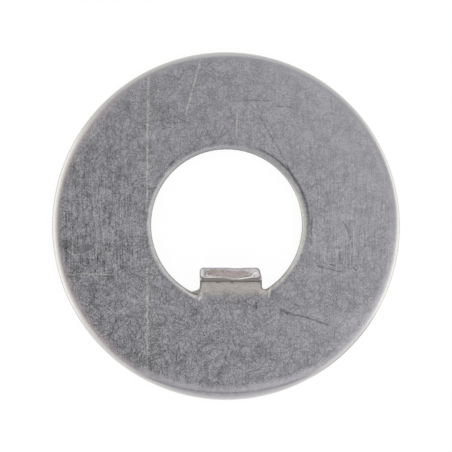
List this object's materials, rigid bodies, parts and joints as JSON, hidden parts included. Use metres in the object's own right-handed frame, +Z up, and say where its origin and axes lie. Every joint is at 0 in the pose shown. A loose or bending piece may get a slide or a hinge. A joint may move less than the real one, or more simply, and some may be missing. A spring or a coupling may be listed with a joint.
{
  "type": "tab lock washer",
  "caption": "Flat round steel washer with a tab bent up from the edge of its bore; the tab drops into a shaft's keyway, so the washer can't turn under its nut.",
  "frame": {"origin": "centre of the bore and of the ring, on the lower face", "axes": "+Z up along the bore axis, the way the tab is bent; the tab lies towards -Y, and +X is to the right when the tab is nearest the viewer"},
  "size_m": [0.028, 0.028, 0.004],
  "materials": {
    "stainless": "satin, tumbled after stamping"
  },
  "bodies": {
    "root": {"tab_washer": "stainless"}
  },
  "joints": []
}
